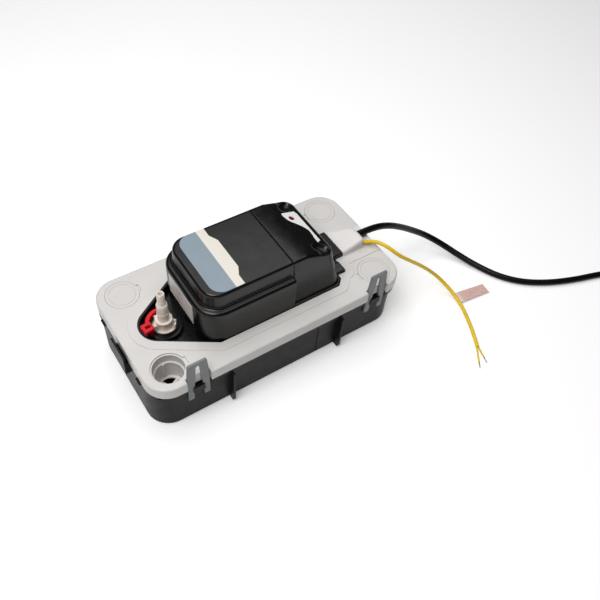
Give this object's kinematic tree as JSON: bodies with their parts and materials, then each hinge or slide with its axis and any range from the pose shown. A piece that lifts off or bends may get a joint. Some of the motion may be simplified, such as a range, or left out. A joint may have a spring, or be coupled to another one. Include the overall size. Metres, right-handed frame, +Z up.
{
  "type": "condensate pump",
  "caption": "Low tank pump for condensate: a lidded rectangular reservoir with corner inlets, a covered motor and float switch, an upright hose-tail outlet, wall brackets and cables",
  "frame": {"origin": "middle of the tank's base, on the surface that the pump stands on", "axes": "+X along the tank towards the cables, -X towards the outlet; -Y is the side with the wall brackets; +Z up"},
  "size_m": [0.6162, 0.3774, 0.1239],
  "materials": {
    "tank_black": "satin moulded plastic",
    "lid_grey": "satin moulded plastic",
    "bracket_grey": "satin moulded plastic",
    "tray_black": "matt moulded plastic",
    "cover_black": "satin moulded plastic",
    "badge_face": "printed label, left bare",
    "silver_label": "printed label, left bare",
    "white_label": "printed label, left bare",
    "lens_red": "clear red plastic",
    "outlet_cream": "slightly translucent plastic",
    "seal_rubber": "moulded rubber",
    "pump_plastic": "moulded plastic",
    "collar_red": "gloss plastic",
    "impeller_plastic": "moulded plastic",
    "steel": "bright steel",
    "laminations": "varnished lamination stack",
    "copper": "enamelled copper wire",
    "bronze": "sintered bronze",
    "float_plastic": "foamed plastic",
    "magnet": "ferrite ring",
    "reed_glass": "sealed glass tube",
    "board_green": "coated circuit board",
    "relay_blue": "moulded case",
    "terminal_green": "moulded block",
    "gland_white": "satin moulded plastic",
    "black_cable": "satin sheath",
    "tie_black": "hook-and-loop strap",
    "plug_brass": "pressed blades",
    "yellow_cable": "satin sheath",
    "tinned_wire": "stranded wire",
    "paper_tag": "faded label, left bare"
  },
  "bodies": {
    "base": {"tank": "tank_black", "lid": "lid_grey", "pump_tray": "tray_black", "cover_front": "cover_black", "cover_rear": "cover_black", "badge": "badge_face", "rating_label": "silver_label", "indicator_label": "white_label", "indicator_lens": "lens_red", "outlet": "outlet_cream", "outlet_seal": "seal_rubber", "valve_housing": "pump_plastic", "pump_column": "pump_plastic", "volute": "pump_plastic", "strainer": "pump_plastic", "discharge_pipe": "pump_plastic", "motor_stator": "laminations", "motor_winding": "copper", "upper_bridge": "steel", "lower_bridge": "steel", "upper_bearing": "bronze", "lower_bearing": "bronze", "float_stem": "float_plastic", "reed_switch": "reed_glass", "control_board": "board_green", "relay": "relay_blue", "terminal_block": "terminal_green", "tray_screws": "steel", "cover_screws": "steel", "motor_screws": "steel", "board_screws": "steel", "cable_entry": "tray_black", "cable_gland": "gland_white", "mains_cable": "black_cable", "mains_cable_tail": "black_cable", "mains_coil": "black_cable", "coil_tie": "tie_black", "mains_plug": "black_cable", "mains_plug_pins": "plug_brass", "alarm_cable": "yellow_cable", "alarm_cores": "yellow_cable", "alarm_wire_ends": "tinned_wire", "cord_tag": "paper_tag"},
    "rotor_assembly": {"motor_shaft": "steel", "motor_rotor": "laminations", "cooling_fan": "pump_plastic", "impeller": "impeller_plastic"},
    "float_body": {"float": "float_plastic", "float_magnet": "magnet"},
    "valve_disc": {"check_valve_disc": "seal_rubber"},
    "collar": {"locking_collar": "collar_red"},
    "bracket_left": {"wall_bracket_left": "bracket_grey"},
    "bracket_right": {"wall_bracket_right": "bracket_grey"},
    "plug_front": {"inlet_plug_front": "lid_grey"},
    "plug_rear_left": {"inlet_plug_rear_left": "lid_grey"},
    "plug_rear_right": {"inlet_plug_rear_right": "lid_grey"}
  },
  "joints": [
    {"name": "motor_spin", "type": "hinge", "parent": "base", "child": "rotor_assembly", "pos_m": [-0.028, 0, 0.084], "axis": [0, 0, 1], "continuous": true},
    {"name": "float_rise", "type": "slide", "parent": "base", "child": "float_body", "axis": [0, 0, 1], "range_m": [0, 0.024]},
    {"name": "valve_lift", "type": "slide", "parent": "base", "child": "valve_disc", "axis": [0, 0, 1], "range_m": [0, 0.0025]},
    {"name": "collar_turn", "type": "hinge", "parent": "base", "child": "collar", "pos_m": [-0.095, 0, 0.065], "axis": [0, 0, 1], "range_deg": [-60, 0]},
    {"name": "bracket_left_slide", "type": "slide", "parent": "base", "child": "bracket_left", "axis": [0, 0, 1], "range_m": [0, 0.034]},
    {"name": "bracket_right_slide", "type": "slide", "parent": "base", "child": "bracket_right", "axis": [0, 0, 1], "range_m": [0, 0.034]},
    {"name": "plug_front_lift", "type": "slide", "parent": "base", "child": "plug_front", "axis": [0, 0, 1], "range_m": [0, 0.02]},
    {"name": "plug_rear_left_lift", "type": "slide", "parent": "base", "child": "plug_rear_left", "axis": [0, 0, 1], "range_m": [0, 0.02]},
    {"name": "plug_rear_right_lift", "type": "slide", "parent": "base", "child": "plug_rear_right", "axis": [0, 0, 1], "range_m": [0, 0.02]}
  ]
}
